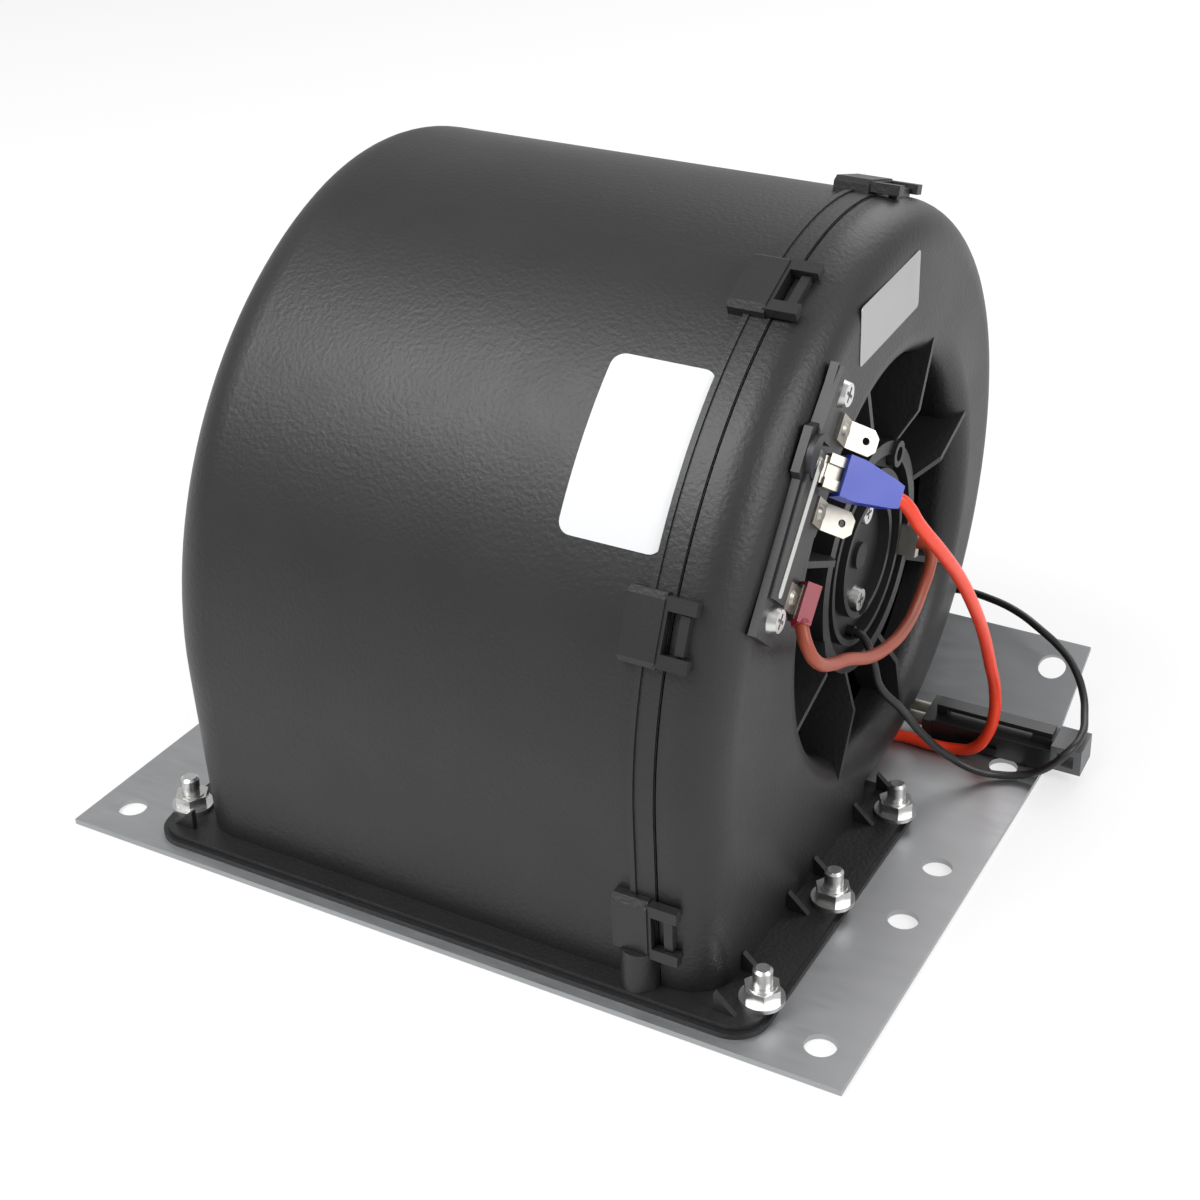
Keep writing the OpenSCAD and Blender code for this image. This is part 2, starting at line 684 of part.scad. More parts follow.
module motor_end_cap() {
  color(black_plastic) place() difference() {
    union() {
      shaft_ring(can_r, 0, can_x1, cap_x1);
      shaft_ring(can_r - can_t - fit, can_r - can_t - 2.5, can_x1 - 1.4, can_x1 + 1);
      shaft_ring(23, 21.4, cap_x1 - 0.5, cap_x1 + 3);
      shaft_ring(15.8, 14.2, cap_x1 - 0.5, cap_x1 + 3);
      shaft_ring(3.5, 0, cap_x1 - 0.5, cap_x1 + 1.2);
      shaft_ring(10, bearing_r - 1, can_x1 - 1, can_x1 + 1);
      // bosses behind the brush holders
      for (s = [0, 180]) on_shaft() rotate([0, 0, s]) translate([commutator_r + 3, -3, 59.2])
        cube([8, 6, can_x1 - 58.7]);
    }
    shaft_ring(bearing_r, 0, can_x1 - 2, cap_x1 - 1);
    for (a = [-95, 85]) on_shaft() rotate([0, 0, a]) translate([12, 0, 0]) {
      translate([0, 0, can_x1 - 3]) cylinder(r = 1.5 + fit, h = 10, $fn = 32);
      translate([0, 0, cap_x1]) cylinder(r = 3.8, h = 5, $fn = 48);
    }
    // slot of the live terminal and hole of the earth lead
    on_shaft() rotate([0, 0, -14]) translate([24, -3.3, can_x1 - 3]) cube([1 + 2 * fit, 6.6, 12]);
    on_shaft() rotate([0, 0, -101]) translate([20.4, 0, can_x1 - 3]) cylinder(r = 1.6, h = 12, $fn = 32);
  }
}

module brush_holders() {
  color([0.75, 0.6, 0.25]) place() for (s = [0, 180]) on_shaft() rotate([0, 0, s]) difference() {
    translate([commutator_r + 1.2, -3.2, 53.2]) cube([11.5, 6.4, 6]);
    translate([commutator_r, -2.55, 53.95]) cube([12, 5.1, 4.5]);
  }
}

module brushes() {
  color([0.2, 0.2, 0.2]) place() for (s = [0, 180]) on_shaft() rotate([0, 0, s])
    translate([commutator_r + 0.1, -2.5, 54]) cube([6.5, 5, 4.4]);
}

module brush_springs() {
  color(bright_steel) place() for (s = [0, 180]) on_shaft() rotate([0, 0, s])
    translate([commutator_r + 6.6, 0, 56.2]) rotate([0, 90, 0]) difference() {
      cylinder(r = 1.9, h = 5.35, $fn = 32);
      translate([0, 0, -1]) cylinder(r = 1.3, h = 7, $fn = 32);
    }
}

module front_bearing() {
  color(bright_steel) place() shaft_ring(bearing_r - fit, shaft_r + shaft_fit, -0.7, can_x0 + 1.4);
}

module rear_bearing() {
  color(bright_steel) place() shaft_ring(bearing_r - fit, shaft_r + shaft_fit, can_x1 - 1.5, cap_x1 - 1);
}

module motor_screws() {
  color(bright_steel) place() for (a = [-95, 85]) on_shaft() rotate([0, 0, a]) translate([12, 0, 0]) {
    translate([0, 0, can_x1 - 2]) cylinder(r = 1.5, h = cap_x1 - can_x1 + 2.5, $fn = 32);
    translate([0, 0, cap_x1]) difference() {
      cylinder(r1 = 3.5, r2 = 2.9, h = 2.1, $fn = 48);
      for (q = [0, 90]) rotate([0, 0, q]) translate([-1.8, -0.4, 1]) cube([3.6, 0.8, 2]);
    }
  }
}

module motor_terminal() {
  color(bright_steel) place() on_shaft() rotate([0, 0, -14]) {
    translate([24 + fit, -3.2, can_x1 - 2]) cube([1, 6.4, cap_x1 - can_x1 + 7.5]);
  }
}

module motor_grommet() {
  color([0.15, 0.15, 0.15]) place() on_shaft() rotate([0, 0, -101]) translate([20.4, 0, can_x1 - 1])
    cylinder(r = 1.55, h = cap_x1 - can_x1 + 3, $fn = 32);
}

// ---------- resistor strip ----------

module resistor_strip() {
  color([0.13, 0.13, 0.13]) place() difference() {
    union() {
      on_strip() linear_extrude(strip_t)
        polygon([[-6.5, 4.5], [-6.5, 15.5], [0, 16.5], [1, 22.2], [28.5, 22.2], [30.5, 20.5], [48, 20.5],
                 [49.5, 15.5], [56, 15.5], [56, 4.5], [21, 2.5], [20, 0.5], [9.5, 0.5], [8.5, 2.5], [7, 4.5]]);
      // raised cap with its edge ridge
      on_strip() linear_extrude(strip_t + 1.2)
        polygon([[-6, 5], [-6, 7.4], [9, 7.4], [9, 9.2], [19.5, 9.2], [19.5, 12.6], [47, 12.6], [47, 5],
                 [21, 3.4], [8.5, 3.4]]);
      on_strip() translate([14.6, 6, 0]) cylinder(r = 5.2, h = strip_t + 1.6, $fn = 48);
    }
    for (s = strip_screws) on_strip() translate([s[0], s[1], -1]) cylinder(r = 1.5 + fit, h = 8, $fn = 32);
    for (t = tabs) on_strip() translate([t[0], t[1], -1]) cylinder(r = 1.2 + fit, h = 8, $fn = 32);
    for (t = tabs) on_strip() translate([t[0] - 4.6, t[1] - 3.6, strip_t]) cube([9.2, 8.4, 4]);
  }
}

module resistor_screws() {
  color(bright_steel) place() for (s = strip_screws) on_strip() translate([s[0], s[1], 0]) {
    translate([0, 0, -wall_t]) cylinder(r = 1.5, h = wall_t + strip_t + 0.5, $fn = 32);
    translate([0, 0, strip_t]) difference() {
      cylinder(r1 = 3.3, r2 = 2.7, h = 2.1, $fn = 48);
      for (q = [0, 90]) rotate([0, 0, q]) translate([-1.8, -0.4, 1.1]) cube([3.6, 0.8, 2]);
    }
  }
}

module resistor_elements() {
  color([0.8, 0.78, 0.7]) place() for (y = [7, 11]) on_strip() translate([0, y, 0]) {
    translate([9, 0, -8]) rotate([0, 90, 0]) cylinder(r = 1.6, h = 34, $fn = 32);
    for (x = [10, 42]) translate([x, 0, -8]) cylinder(r = 0.6, h = 8, $fn = 16);
  }
}

// side profile of a blade terminal: flat foot, then the blade bent up by 45 degrees
module tab_profile(blade_l) {
  c = blade_l * sin(45);
  t = tab_t * sin(45);
  polygon([[-3.2, 0], [tab_bend, 0], [tab_bend + c, c], [tab_bend + c - t, c + t],
           [tab_bend - tab_t * tan(22.5), tab_t], [-3.2, tab_t]]);
}

module terminal_tabs() {
  color(bright_steel) place() for (i = [0:3]) difference() {
    on_strip() translate([tabs[i][0] - tab_w / 2, tabs[i][1], strip_t]) rotate([90, 0, 90])
      linear_extrude(tab_w) tab_profile(i == 3 ? flag_blade_l : tab_l);
    on_strip() translate([tabs[i][0], tabs[i][1], strip_t - 1]) cylinder(r = 1.2 + fit, h = 3, $fn = 32);
    if (i < 3) on_tab(i) {
      translate([0, tab_l - 3, -1]) cylinder(r = 0.9, h = 3, $fn = 32);
      for (s = [-1, 1]) translate([s * tab_w / 2, tab_l, 0]) rotate([0, 0, 45])
        cube([2.2, 2.2, 6], center = true);
    }
  }
}

module tab_rivets() {
  color([0.6, 0.6, 0.58]) place() for (t = tabs) on_strip() translate([t[0], t[1], 0]) {
    cylinder(r = 1.2, h = strip_t + tab_t + 0.2, $fn = 32);
    translate([0, 0, strip_t + tab_t]) cylinder(r1 = 1.9, r2 = 1.4, h = 0.7, $fn = 32);
  }
}

module female_terminal() {
  color(bright_steel) place() on_tab(1) difference() {
    translate([-3.9, 1.1, -1]) cube([7.8, 7.7, tab_t + 2]);
    translate([-tab_w / 2 - 0.1, -1, -0.1]) cube([tab_w + 0.2, 12, tab_t + 0.2]);
    translate([-1.6, -1, tab_t + 0.3]) cube([3.2, 12, 2]);
  }
}

module blue_sleeve() {
  color([0.16, 0.3, 0.75]) place() on_tab(1) difference() {
    translate([0, 0, -2.2]) linear_extrude(5.4)
      polygon([[-4.8, 5], [-4.8, 9], [-3.2, 17.6], [-2.6, 19.6], [2.6, 19.6], [3.2, 17.6], [4.8, 9], [4.8, 5]]);
    translate([-3.95, 4, -1.05]) cube([7.9, 4.8, tab_t + 2.1]);
  }
}

module flag_terminal() {
  color(bright_steel) place() on_tab(3) difference() {
    translate([-3.9, 0.5, -0.8]) cube([7.8, 1.6, tab_t + 1.6]);
    translate([-tab_w / 2 - 0.1, -1, -0.1]) cube([tab_w + 0.2, 12, tab_t + 0.2]);
  }
}

module red_sleeve() {
  color([0.72, 0.2, 0.24]) place() on_tab(3) difference() {
    union() {
      translate([-4.8, 0.9, -2]) cube([9.2, 3.6, 4.8]);
      // barrel round the brown lead
      translate([3, 2.4, 0.4]) rotate([-45, 0, 0]) rotate([0, 60, 0]) cylinder(r = 2.2, h = 2, $fn = 32);
    }
    translate([-3.95, 0, -0.85]) cube([7.9, 2.2, tab_t + 1.7]);
    translate([-tab_w / 2 - 0.1, 0, -0.1]) cube([tab_w + 0.2, flag_blade_l + 0.1, tab_t + 0.2]);
  }
}

module lead_terminal() {
  color(bright_steel) place() on_shaft() rotate([0, 0, -14]) difference() {
    translate([23.4, -3.9, cap_x1 + 1.6]) cube([2.6, 7.8, 6]);
    translate([23.95, -3.3, cap_x1]) cube([1.2, 6.6, 5.6]);
  }
}

// ---------- leads and connector ----------

module red_wire() {
  color([0.85, 0.2, 0.14]) place() lead(red_route, red_d / 2);
}

module brown_wire() {
  color([0.5, 0.22, 0.14]) place() lead(brown_route, brown_d / 2);
}

module black_wire() {
  color([0.08, 0.08, 0.08]) place() lead(black_route, black_d / 2);
}

module connector_housing() {
  color([0.07, 0.07, 0.07]) place() on_plug() difference() {
    union() {
      cube([plug_l, plug_w, plug_h - 2]);
      translate([-1.5, -0.6, 0]) cube([2.5, plug_w + 1.2, plug_h - 2]);
      translate([plug_l - 6, 2, 0]) cube([6, plug_w - 4, plug_h]);
    }
    for (v = [3.1, 7.8]) translate([-2, v, 4]) rotate([0, 90, 0]) cylinder(r = 1.9 + fit, h = 14, $fn = 32);
    translate([8, -1, 2.4]) cube([12, 1.8, 2.4]);
  }
}

module connector_latch() {
  color([0.07, 0.07, 0.07]) place() on_plug() {
    translate([1.5, 3.2, plug_h - 2]) cube([3, 4, 2.5]);
    translate([1.5, 3.2, plug_h]) cube([plug_l - 2, 4, 1.4]);
  }
}

module connector_lock() {
  color([0.3, 0.31, 0.32]) place() on_plug() difference() {
    translate([plug_l, 0.6, 0.6]) cube([8.5, plug_w - 1.2, plug_h - 1]);
    translate([plug_l + 1.8, -1, 2.4]) cube([4.6, plug_w + 2, plug_h - 4.8]);
  }
}

module crimp_contacts() {
  color(bright_steel) place() on_plug() for (v = [3.1, 7.8]) translate([-7.5, v, 4]) rotate([0, 90, 0])
    cylinder(r = 1.9, h = 18, $fn = 32);
}

mounting_plate();
outlet_studs();
flange_nuts();
housing();
end_cover();
impeller();
impeller_hub();
hub_rivets();
hub_screw();
motor_shaft();
motor_can();
magnets();
armature();
armature_windings();
commutator();
motor_end_cap();
brush_holders();
brushes();
brush_springs();
front_bearing();
rear_bearing();
motor_screws();
motor_terminal();
motor_grommet();
resistor_strip();
resistor_screws();
resistor_elements();
terminal_tabs();
tab_rivets();
female_terminal();
blue_sleeve();
flag_terminal();
red_sleeve();
lead_terminal();
red_wire();
brown_wire();
black_wire();
connector_housing();
connector_latch();
connector_lock();
crimp_contacts();
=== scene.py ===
# %% [markdown]
# A DC blower for a heater: a black drum with a motor in its middle, standing on a zinc-plated plate.
# The CAD model already holds every rigid piece, so this script loads it as a fixed frame and adds
# what CAD leaves plain: the round leads, the labels, the finishes, the light and the camera.

# %% Load the frame
import json
import math

import bmesh
import bpy
from mathutils import Matrix, Vector
from mathutils.geometry import interpolate_bezier


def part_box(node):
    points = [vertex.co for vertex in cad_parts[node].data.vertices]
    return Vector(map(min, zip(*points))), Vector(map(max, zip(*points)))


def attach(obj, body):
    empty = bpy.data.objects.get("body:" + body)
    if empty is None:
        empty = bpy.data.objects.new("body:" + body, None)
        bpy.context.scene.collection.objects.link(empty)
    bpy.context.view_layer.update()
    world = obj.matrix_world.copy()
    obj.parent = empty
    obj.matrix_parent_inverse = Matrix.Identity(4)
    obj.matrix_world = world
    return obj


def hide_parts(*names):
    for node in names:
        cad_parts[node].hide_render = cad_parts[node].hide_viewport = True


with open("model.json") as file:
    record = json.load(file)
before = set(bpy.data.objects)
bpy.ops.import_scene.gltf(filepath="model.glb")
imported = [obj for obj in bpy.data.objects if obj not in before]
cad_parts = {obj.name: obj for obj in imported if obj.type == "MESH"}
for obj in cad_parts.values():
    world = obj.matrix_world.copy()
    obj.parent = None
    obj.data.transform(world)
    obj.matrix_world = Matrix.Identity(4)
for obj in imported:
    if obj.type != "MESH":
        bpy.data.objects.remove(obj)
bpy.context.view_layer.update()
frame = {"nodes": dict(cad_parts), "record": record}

# %% [markdown]
# The plate's front edge and top face are the builder's datum, because everything is bolted to the
# plate. The frame's origin lies under the middle of the object, so one function moves a point from
# the datum to the frame and turns millimetres into metres.

# %% From the plate's datum to the frame
MM = 0.001
PLATE_T = 1.5
FRONT_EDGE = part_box("mounting_plate")[0][1]


def at(x, y, z):
    return Vector((x * MM, FRONT_EDGE + y * MM, (z + PLATE_T) * MM))


print("front edge of the plate at y =", round(FRONT_EDGE, 5))

# %% [markdown]
# The camera stands in front, to the right and above, a little over half a metre away. Its direction
# is given by two angles, and a small roll turns it about its own line of sight. A matrix built from
# a tracking turn and a roll is safer than three Euler angles, whose order is easy to mix up.

# %% Camera
AZIMUTH = math.radians(28.857)
ELEVATION = math.radians(29.607)
ROLL = math.radians(-0.629)
LENS = 61.26
SENSOR = 36
CAMERA_PLACE = (227.68, -321.82, 318.06)

camera_data = bpy.data.cameras.new("camera")
camera_data.lens = LENS
camera_data.sensor_width = SENSOR
camera_data.clip_start = 0.01
camera = bpy.data.objects.new("camera", camera_data)
look = Vector((-math.sin(AZIMUTH) * math.cos(ELEVATION), math.cos(AZIMUTH) * math.cos(ELEVATION),
               -math.sin(ELEVATION)))
turn = look.to_track_quat("-Z", "Y").to_matrix().to_4x4() @ Matrix.Rotation(ROLL, 4, "Z")
camera.matrix_world = Matrix.Translation(at(*CAMERA_PLACE)) @ turn
bpy.context.collection.objects.link(camera)
bpy.context.scene.camera = camera
print("camera at", [round(v, 3) for v in camera.location])

# %% [markdown]
# Three leads run on the motor side. Each is a soft tube of one diameter. A chain of cylinders would
# show its corners, so a lead is drawn as a curve through chosen points with a round bevel. The points
# are the ones that carry the CAD model's plain tubes.

# %% Routes of the leads
RED_ROUTE = [(90.4, 63.4, 113.8), (91.3, 64.1, 113.2), (92.8, 65.5, 111), (94.2, 67.6, 107),
             (97, 77.2, 95.8), (98, 89.1, 83.7), (98.5, 100.6, 70.6), (98, 113.9, 55.1),
             (96.8, 127.2, 38), (96, 137.4, 22.7), (96, 138.4, 16), (95, 137.9, 9.8),
             (91.5, 137.3, 4), (86, 137.6, 2), (80.5, 137, 1.8), (71, 137.2, 1.8),
             (64, 135.4, 1.8), (57, 134, 1.8), (50, 135, 1.8), (45.5, 140, 1.9),
             (46.8, 146.6, 2.6), (52.5, 149.4, 3.6), (59, 147.2, 4.4), (64, 144.2, 5.1),
             (67.5, 143.3, 5.2), (69.5, 143.2, 5.2)]
BROWN_ROUTE = [(79.2, 39.4, 90.5), (79.6, 39, 90), (80.4, 38.2, 88.6), (81.2, 37.8, 87.1),
               (81.9, 37.9, 85.5), (82.4, 38.4, 84), (82.8, 39.4, 82.6), (82.8, 43, 79.6),
               (82.5, 50.5, 75.5), (82.4, 60, 71.6), (83, 73.8, 65.1), (83, 87.4, 61.2),
               (82, 100.4, 59), (80.4, 112, 58.5), (79.2, 120, 59.8), (78.6, 125.6, 62.2),
               (77.8, 128.8, 64.8), (76.4, 130, 66.5), (74.8, 130.1, 67), (73.6, 130.1, 67)]
BLACK_ROUTE = [(68, 102.3, 53), (69.8, 102.2, 52.7), (72.4, 101.2, 50.4), (74.6, 100.2, 46),
               (76.5, 100, 40.5), (81, 104, 33), (84.3, 114, 20), (88.7, 123.5, 9),
               (95, 127.5, 4), (101, 131.4, 1.8), (107.5, 134, 2.4), (113.5, 134.6, 6.5),
               (117.4, 136.4, 11), (118.9, 143.7, 12.5), (116.7, 153.8, 13.5),
               (114, 160.5, 15.5), (109.8, 165.8, 19), (103.7, 170.4, 22), (97, 172.6, 25),
               (88, 177.2, 26.4), (80, 179.4, 27), (69.5, 182, 26), (60, 182.4, 23.6),
               (52, 179.6, 20.6), (46.8, 173, 16.6), (46.6, 165, 12), (51, 158, 7.8),
               (58, 152.4, 6), (64, 148.9, 5.8), (67.5, 148, 5.8), (69.5, 147.9, 5.8)]

# %% [markdown]
# The finished lead is a mesh, because the frame's box is read from meshes. The curve's own centre
# line is worked out as well, since its length is the length of the real lead, but it is not kept.

# %% Leads
STEPS = 6
ROUNDNESS = 4


def lead(name, node, route, diameter):
    curve = bpy.data.curves.new(name, "CURVE")
    curve.dimensions = "3D"
    curve.bevel_depth = diameter * MM / 2
    curve.bevel_resolution = ROUNDNESS
    curve.resolution_u = STEPS
    curve.use_fill_caps = True
    line = curve.splines.new("BEZIER")
    line.bezier_points.add(len(route) - 1)
    for knot, point in zip(line.bezier_points, route):
        knot.co = at(*point)
        knot.handle_left_type = knot.handle_right_type = "AUTO"
    drawn = bpy.data.objects.new(name, curve)
    bpy.context.collection.objects.link(drawn)
    evaluated = drawn.evaluated_get(bpy.context.evaluated_depsgraph_get())
    centre = []
    for a, b in zip(line.bezier_points[:-1], line.bezier_points[1:]):
        centre += interpolate_bezier(a.co, a.handle_right, b.handle_left, b.co, STEPS + 1)[:-1]
    centre.append(line.bezier_points[-1].co.copy())
    tube = bpy.data.meshes.new_from_object(evaluated)
    bpy.data.objects.remove(drawn)
    piece = bpy.data.objects.new(name, tube)
    bpy.context.collection.objects.link(piece)
    for face in tube.polygons:
        face.use_smooth = True
    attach(piece, "blower_body")
    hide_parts(node)
    return piece


red_lead = lead("red_lead", "red_wire", RED_ROUTE, 3.3)
brown_lead = lead("brown_lead", "brown_wire", BROWN_ROUTE, 3.2)
black_lead = lead("black_lead", "black_wire", BLACK_ROUTE, 2.2)

# %% [markdown]
# A finish is a few numbers that change over a surface. Writing them as sums and products is easier
# to read than linking nodes by hand, so a small class wraps a socket and turns + and * into nodes.

# %% Socket arithmetic


class Value:
    def __init__(self, tree, socket):
        self.tree = tree
        self.socket = socket

    def math(self, operation, other):
        node = self.tree.nodes.new("ShaderNodeMath")
        node.operation = operation
        self.tree.links.new(self.socket, node.inputs[0])
        if isinstance(other, Value):
            self.tree.links.new(other.socket, node.inputs[1])
        else:
            node.inputs[1].default_value = other
        return Value(self.tree, node.outputs[0])

    def __add__(self, other):
        return self.math("ADD", other)

    def __mul__(self, other):
        return self.math("MULTIPLY", other)

    __radd__ = __add__
    __rmul__ = __mul__


class Finish:
    def __init__(self, name):
        self.material = bpy.data.materials.new(name)
        self.material.use_nodes = True
        self.tree = self.material.node_tree
        self.shader = self.tree.nodes["Principled BSDF"]

    def node(self, kind, settings=None, **inputs):
        made = self.tree.nodes.new(kind)
        for key, value in (settings or {}).items():
            setattr(made, key, value)
        for key, value in inputs.items():
            socket = made.inputs[key.replace("_", " ")]
            if isinstance(value, Value):
                self.tree.links.new(value.socket, socket)
            else:
                socket.default_value = value
        return made

    def noise(self, scale, detail=3, stretch=(1, 1, 1)):
        place = self.node("ShaderNodeTexCoord")
        stretched = self.node("ShaderNodeMapping", Scale=stretch,
                              Vector=Value(self.tree, place.outputs["Object"]))
        made = self.node("ShaderNodeTexNoise", Scale=scale, Detail=detail,
                         Vector=Value(self.tree, stretched.outputs[0]))
        return Value(self.tree, made.outputs[0])

    def feed(self, name, value):
        socket = self.shader.inputs[name]
        if isinstance(value, Value):
            self.tree.links.new(value.socket, socket)
        else:
            socket.default_value = value

    def bump(self, height, distance, strength=1.0):
        made = self.node("ShaderNodeBump", Height=height, Distance=distance, Strength=strength)
        self.feed("Normal", Value(self.tree, made.outputs[0]))

    def between(self, low, high, factor):
        made = self.node("ShaderNodeMix", {"data_type": "RGBA"})
        self.tree.links.new(factor.socket, made.inputs[0])
        made.inputs[6].default_value = (*low, 1)
        made.inputs[7].default_value = (*high, 1)
        return Value(self.tree, made.outputs[2])


print("shader helpers ready")

# %% [markdown]
# Moulded black plastic has a fine spark-eroded grain that spreads its highlights. Two noises do it:
# a fine one for the grain, a broad one for the uneven sheen that handling leaves.

# %% Plastics


def moulded(name, dark, pale, sheen, grain_mm):
    finish = Finish(name)
    finish.feed("Base Color", finish.between(dark, pale, finish.noise(60)))
    finish.feed("Roughness", finish.noise(45) * 0.16 + sheen)
    finish.bump(finish.noise(900, 3), grain_mm * MM, 0.8)
    return finish.material


drum_black = moulded("drum_black", (0.010, 0.010, 0.011), (0.015, 0.015, 0.016), 0.36, 0.16)
wheel_black = moulded("wheel_black", (0.010, 0.010, 0.011), (0.016, 0.016, 0.017), 0.42, 0.04)
strip_black = moulded("strip_black", (0.018, 0.018, 0.019), (0.027, 0.027, 0.028), 0.38, 0.03)
connector_black = moulded("connector_black", (0.012, 0.012, 0.013), (0.018, 0.018, 0.019), 0.26, 0.01)
lock_grey = moulded("lock_grey", (0.09, 0.095, 0.10), (0.12, 0.125, 0.13), 0.36, 0.01)
print("plastics ready")

# %% [markdown]
# Sleeves and lead insulation are smooth and a little glossy, with no grain. One colour each is
# enough, with a slow change of roughness so that the highlight along a lead isn't perfect.

# %% Sleeves and insulation


def smooth(name, colour, gloss):
    finish = Finish(name)
    finish.feed("Base Color", (*colour, 1))
    finish.feed("Roughness", finish.noise(120) * 0.12 + gloss)
    return finish.material


blue_sleeve = smooth("blue_sleeve", (0.012, 0.035, 0.36), 0.26)
red_sleeve = smooth("red_sleeve", (0.26, 0.025, 0.04), 0.30)
red_insulation = smooth("red_insulation", (0.78, 0.045, 0.012), 0.30)
brown_insulation = smooth("brown_insulation", (0.30, 0.055, 0.025), 0.36)
black_insulation = smooth("black_insulation", (0.014, 0.014, 0.014), 0.32)
print("sleeves ready")

# %% [markdown]
# Zinc plating on rolled sheet is pale, faintly streaked along the rolling direction and softly
# reflective. The streaks are a noise stretched along one axis.

# %% Metals


def metal(name, low, high, rough, streak=(1, 1, 1), scale=90):
    finish = Finish(name)
    finish.feed("Metallic", 1.0)
    finish.feed("Base Color", finish.between(low, high, finish.noise(scale, 4, streak)))
    finish.feed("Roughness", finish.noise(scale * 2, 3, streak) * 0.18 + rough)
    return finish.material


zinc = metal("zinc_plate", (0.38, 0.39, 0.40), (0.46, 0.47, 0.48), 0.46, (1, 5, 5), 60)
bright_steel = metal("bright_steel", (0.62, 0.62, 0.61), (0.76, 0.76, 0.75), 0.22)
tin = metal("tin", (0.36, 0.34, 0.30), (0.52, 0.50, 0.45), 0.34, scale=260)
iron = metal("iron", (0.20, 0.20, 0.21), (0.28, 0.28, 0.29), 0.45)
copper = metal("copper", (0.62, 0.30, 0.13), (0.75, 0.40, 0.20), 0.30)
brass = metal("brass", (0.66, 0.50, 0.20), (0.78, 0.62, 0.30), 0.28)
print("metals ready")

# %% [markdown]
# The record names a material slot for each CAD piece, so one table from slot to finish paints them
# all. The leads are Blender's own pieces, so each is given its finish and its slot one by one.

# %% Finishes by slot
ceramic = smooth("ceramic", (0.72, 0.70, 0.62), 0.6)
BY_SLOT = {
    "zinc_plate": zinc, "steel_stud": bright_steel, "steel_nut": bright_steel,
    "drum_plastic": drum_black, "wheel_plastic": wheel_black, "hub_steel": bright_steel,
    "can_steel": bright_steel, "magnet": iron, "lamination": iron, "copper": copper,
    "brass_part": brass, "carbon": wheel_black, "cap_plastic": wheel_black,
    "grommet_rubber": black_insulation, "strip_plastic": strip_black, "ceramic": ceramic,
    "tin_terminal": tin, "blue_plastic": blue_sleeve, "red_plastic": red_sleeve,
    "red_insulation": red_insulation, "brown_insulation": brown_insulation,
    "black_insulation": black_insulation, "connector_plastic": connector_black,
    "lock_plastic": lock_grey,
}
for part in frame["record"]["subparts"]:
    node = frame["nodes"][part["node"]]
    for place in node.material_slots:
        place.material = BY_SLOT[part["material_slot"]]
for piece, slot_name, finish in ((red_lead, "red_insulation", red_insulation),
                                 (brown_lead, "brown_insulation", brown_insulation),
                                 (black_lead, "black_insulation", black_insulation)):
    piece.data.materials.append(finish)
print("painted", len(frame["nodes"]), "CAD nodes")

# %% [markdown]
# Three stickers are left blank. A sticker is a rounded rectangle a little over a tenth of a
# millimetre thick. It starts as one face with bevelled corners and is cut across, so that it can
# follow the drum's arc when a function moves each of its points into place.

# %% How a sticker is made
LABEL_T = 0.12
LIFT = 0.04


def sticker(name, width, height, corner, cuts, place, finish):
    mesh = bpy.data.meshes.new(name)
    shape = bmesh.new()
    bmesh.ops.create_grid(shape, x_segments=1, y_segments=1, size=0.5)
    bmesh.ops.scale(shape, vec=(width, height, 1), verts=shape.verts)
    bmesh.ops.bevel(shape, geom=shape.verts[:], affect="VERTICES", offset=corner, segments=6,
                    profile=0.5, material=-1)
    for k in range(1, cuts):
        bmesh.ops.bisect_plane(shape, geom=shape.verts[:] + shape.edges[:] + shape.faces[:],
                               plane_co=(0, height * (k / cuts - 0.5), 0), plane_no=(0, 1, 0))
    top = bmesh.ops.extrude_face_region(shape, geom=shape.faces[:])["geom"]
    raised = [v for v in top if isinstance(v, bmesh.types.BMVert)]
    bmesh.ops.translate(shape, verts=raised, vec=(0, 0, LABEL_T))
    for vertex in shape.verts:
        vertex.co = place(vertex.co.x, vertex.co.y, vertex.co.z + LIFT)
    bmesh.ops.recalc_face_normals(shape, faces=shape.faces)
    shape.to_mesh(mesh)
    shape.free()
    mesh.materials.append(finish)
    piece = bpy.data.objects.new(name, mesh)
    bpy.context.collection.objects.link(piece)
    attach(piece, "blower_body")
    print(name, len(mesh.polygons), "faces")


# %% [markdown]
# The largest sticker is white paper on the drum's front arc. Its height is bent round the arc's
# centre, so a length along the sticker becomes an angle.

# %% Sticker on the drum
FRONT_ARC = (113.46, 57.47, 106.8)
DRUM_LABEL_X = 41
DRUM_LABEL_ANGLE = math.radians(138.9)


def on_front_arc(x, y, z):
    angle = DRUM_LABEL_ANGLE - y / FRONT_ARC[2]
    reach = FRONT_ARC[2] + z
    return at(DRUM_LABEL_X + x, FRONT_ARC[0] + reach * math.cos(angle),
              FRONT_ARC[1] + reach * math.sin(angle))


white_paper = smooth("white_paper", (0.66, 0.67, 0.68), 0.42)
sticker("drum_label", 25.5, 42.9, 3.2, 24, on_front_arc, white_paper)

# %% [markdown]
# A silver foil sticker lies flat on the end cover, above the strip, and is turned a few degrees.

# %% Sticker on the end cover
COVER_X = 74.2
COVER_LABEL = (96.4, 144.3)
COVER_LABEL_TURN = math.radians(3.7)


def on_cover(x, y, z):
    across = x * math.cos(COVER_LABEL_TURN) - y * math.sin(COVER_LABEL_TURN)
    up = x * math.sin(COVER_LABEL_TURN) + y * math.cos(COVER_LABEL_TURN)
    return at(COVER_X + z, COVER_LABEL[0] + across, COVER_LABEL[1] + up)


silver_foil = metal("silver_foil", (0.46, 0.46, 0.46), (0.56, 0.56, 0.56), 0.46)
sticker("cover_label", 36.2, 14.6, 1.2, 2, on_cover, silver_foil)

# %% [markdown]
# A narrow grey sticker lies along the terminal strip, which leans across the cover, so its place is
# worked out along the strip and across it.

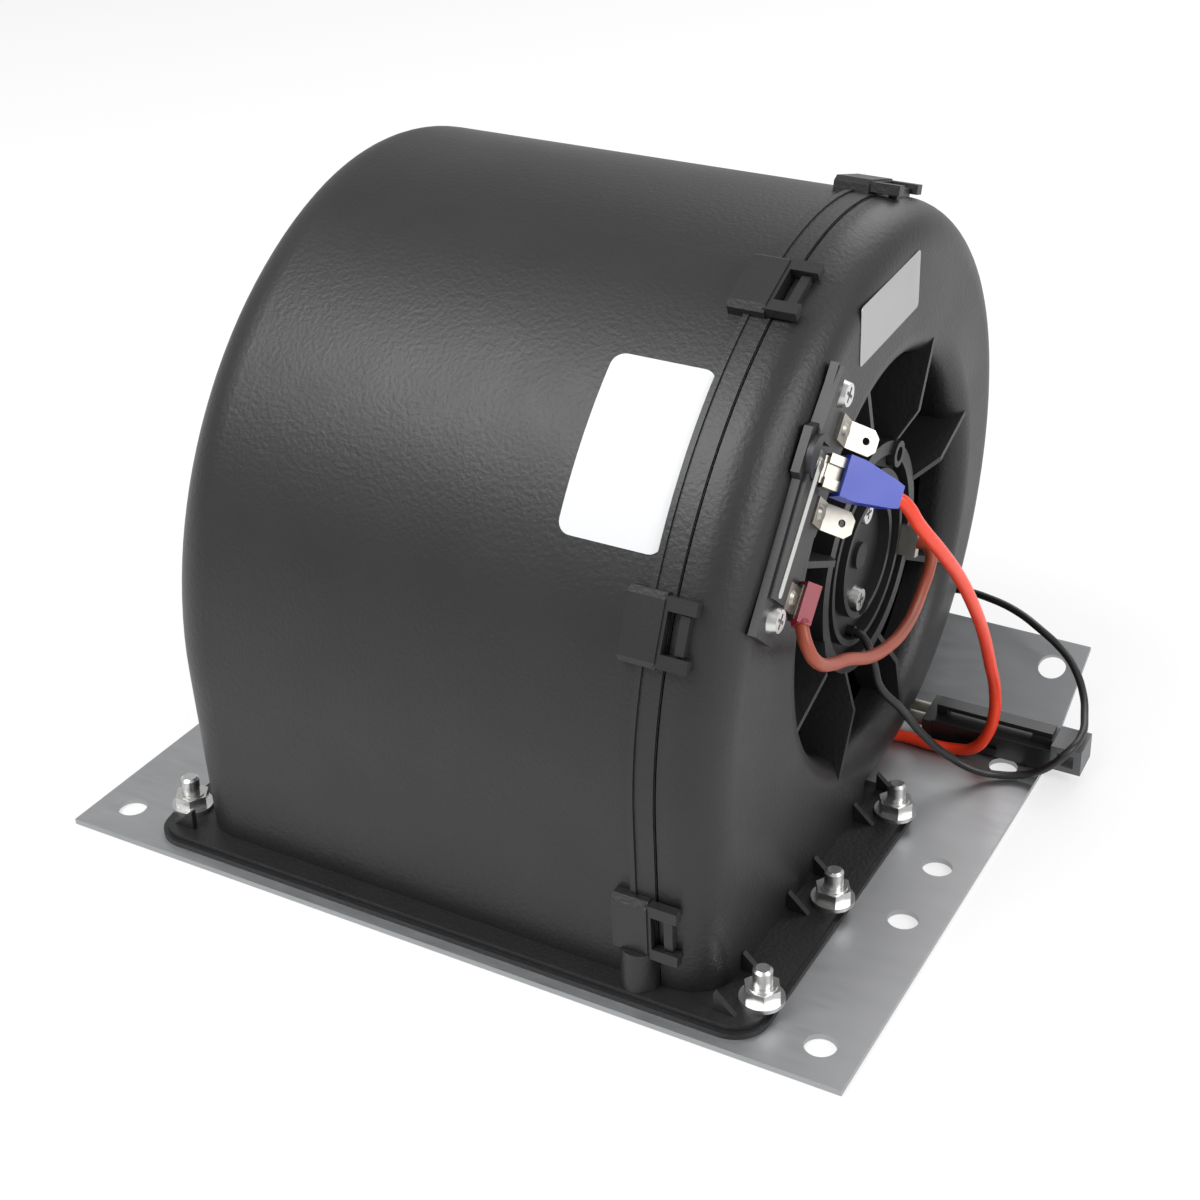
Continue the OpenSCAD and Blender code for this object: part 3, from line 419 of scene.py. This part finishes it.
# %% Sticker on the resistor strip
STRIP_FROM = (53.9, 142)
STRIP_TURN = math.radians(-129.7)
STRIP_TOP = COVER_X + 3.2
STRIP_LABEL = (30.2, 7.9)


def on_strip(x, y, z):
    along = STRIP_LABEL[0] + x
    across = STRIP_LABEL[1] + y
    return at(STRIP_TOP + z,
              STRIP_FROM[0] + along * math.cos(STRIP_TURN) - across * math.sin(STRIP_TURN),
              STRIP_FROM[1] + along * math.sin(STRIP_TURN) + across * math.cos(STRIP_TURN))


strip_paper = smooth("strip_paper", (0.50, 0.50, 0.48), 0.5)
sticker("strip_label", 32, 2.2, 1, 2, on_strip, strip_paper)

# %% [markdown]
# The floor is nearly white and keeps the object's shadow. A plain white floor would render grey in
# the distance, so where the camera or a reflection sees it, part of it glows white by itself.

# %% Floor
FLOOR_REACH = 6
FLOOR_DROP = 0.0002
FLOOR_PALE = 0.9
GLOW_SHARE = 0.62

floor_finish = bpy.data.materials.new("floor")
floor_finish.use_nodes = True
tree = floor_finish.node_tree
tree.nodes.clear()
output = tree.nodes.new("ShaderNodeOutputMaterial")
blend = tree.nodes.new("ShaderNodeMixShader")
matt = tree.nodes.new("ShaderNodeBsdfDiffuse")
matt.inputs["Color"].default_value = (FLOOR_PALE, FLOOR_PALE, FLOOR_PALE, 1)
glow = tree.nodes.new("ShaderNodeEmission")
glow.inputs["Color"].default_value = (1, 1, 1, 1)
path = tree.nodes.new("ShaderNodeLightPath")
seen = Value(tree, path.outputs["Is Camera Ray"]) + Value(tree, path.outputs["Is Glossy Ray"])
share = seen * GLOW_SHARE
tree.links.new(share.socket, blend.inputs[0])
tree.links.new(matt.outputs[0], blend.inputs[1])
tree.links.new(glow.outputs[0], blend.inputs[2])
tree.links.new(blend.outputs[0], output.inputs[0])

floor_mesh = bpy.data.meshes.new("floor")
shape = bmesh.new()
bmesh.ops.create_grid(shape, x_segments=1, y_segments=1, size=FLOOR_REACH)
shape.to_mesh(floor_mesh)
shape.free()
floor_mesh.materials.append(floor_finish)
floor = bpy.data.objects.new("floor", floor_mesh)
floor.location = (0, 0, -FLOOR_DROP)
bpy.context.collection.objects.link(floor)
print("floor ready")

# %% [markdown]
# The world gives the object a plain grey-white light, and is brought up to full white where the
# camera sees it directly, so that the background is white without more light on the object.

# %% World
WORLD_LIGHT = 0.55

world = bpy.data.worlds.new("world")
bpy.context.scene.world = world
world.use_nodes = True
sky = world.node_tree
back = sky.nodes["Background"]
back.inputs["Color"].default_value = (1, 1, 1, 1)
world_path = sky.nodes.new("ShaderNodeLightPath")
strength = Value(sky, world_path.outputs["Is Camera Ray"]) * (1 - WORLD_LIGHT) + WORLD_LIGHT
sky.links.new(strength.socket, back.inputs["Strength"])
print("world ready")

# %% [markdown]
# Three area lamps give the shape its highlights: a broad one above the front, a smaller one on the
# motor side and one behind. All of them point at the middle of the object.

# %% Lamps
AIM = (0, 0, 0.06)


def lamp(name, power, size, place):
    data = bpy.data.lights.new(name, "AREA")
    data.energy = power
    data.size = size
    made = bpy.data.objects.new(name, data)
    made.location = place
    made.rotation_euler = (Vector(AIM) - Vector(place)).to_track_quat("-Z", "Y").to_euler()
    bpy.context.collection.objects.link(made)


lamp("key", 9, 0.6, (-0.35, -0.55, 0.95))
lamp("side", 5, 0.5, (0.9, -0.1, 0.6))
lamp("rear", 4, 0.7, (0.1, 0.9, 0.8))
bpy.context.scene.view_settings.view_transform = "Standard"
print("stage ready")

# %% [markdown]
# Last, the view layer is updated.

# %% Last update
bpy.context.view_layer.update()
